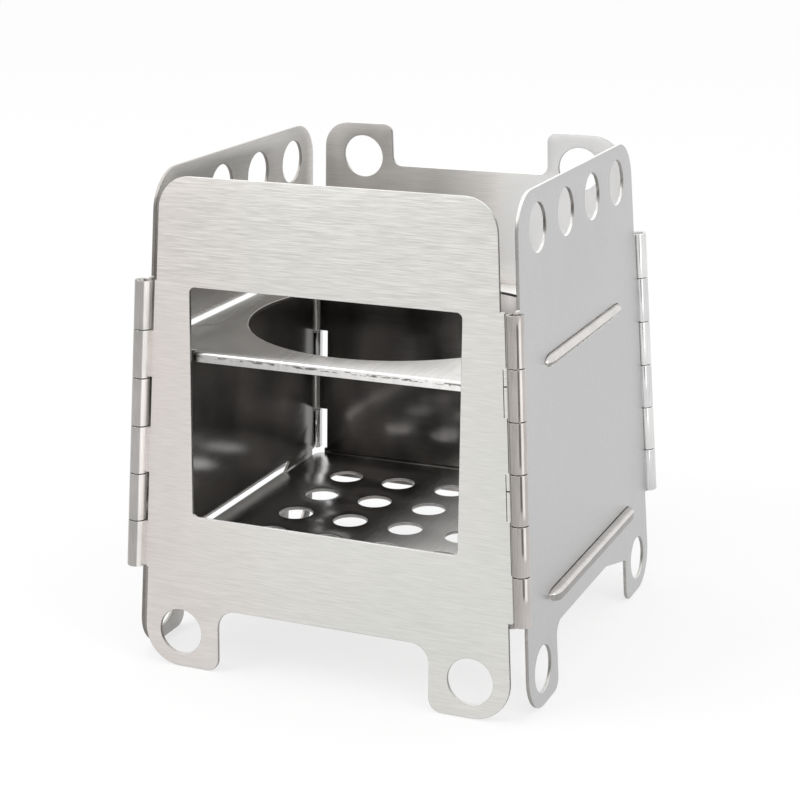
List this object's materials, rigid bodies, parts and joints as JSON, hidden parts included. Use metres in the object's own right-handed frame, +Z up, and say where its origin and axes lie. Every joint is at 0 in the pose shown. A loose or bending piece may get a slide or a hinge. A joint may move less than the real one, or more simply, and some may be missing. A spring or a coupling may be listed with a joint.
{
  "type": "folding camp stove",
  "caption": "Folding sheet-metal camp stove: four hinged tapering walls with window, vents and louvers, a ring burner plate and a perforated fire grate.",
  "frame": {"origin": "centre of the four walls' footprint, on the surface the legs stand on", "axes": "+Z up along the stove's height, -Y towards the wall with the window, +X to the right seen from the window"},
  "size_m": [0.1304, 0.1298, 0.1494],
  "materials": {
    "front_wall": "fine brushed grain running across, light reflections",
    "back_wall": "fine brushed, slightly darker inside",
    "left_wall": "fine brushed, satin",
    "right_wall": "fine brushed, satin grey",
    "burner_plate": "smooth rolled sheet, reflective",
    "fire_grate": "smooth rolled sheet, reflective",
    "hinge_pin_front_left": "bright drawn rod",
    "hinge_pin_front_right": "bright drawn rod",
    "hinge_pin_back_left": "bright drawn rod",
    "hinge_pin_back_right": "bright drawn rod"
  },
  "bodies": {
    "front": {"front_wall": "front_wall", "burner_plate": "burner_plate", "fire_grate": "fire_grate", "hinge_pin_front_left": "hinge_pin_front_left", "hinge_pin_front_right": "hinge_pin_front_right"},
    "left": {"left_wall": "left_wall", "hinge_pin_back_left": "hinge_pin_back_left"},
    "right": {"right_wall": "right_wall", "hinge_pin_back_right": "hinge_pin_back_right"},
    "back": {"back_wall": "back_wall"}
  },
  "joints": [
    {"name": "left_wall_hinge", "type": "hinge", "parent": "front", "child": "left", "pos_m": [-0.064, -0.064, 0], "axis": [0.0543, 0.0543, 0.997], "range_deg": [0, 90]},
    {"name": "right_wall_hinge", "type": "hinge", "parent": "front", "child": "right", "pos_m": [0.064, -0.064, 0], "axis": [0.0543, -0.0543, -0.997], "range_deg": [0, 90]},
    {"name": "back_wall_hinge", "type": "hinge", "parent": "right", "child": "back", "pos_m": [0.064, 0.064, 0], "axis": [0.0543, 0.0543, -0.997], "range_deg": [0, 90]}
  ]
}
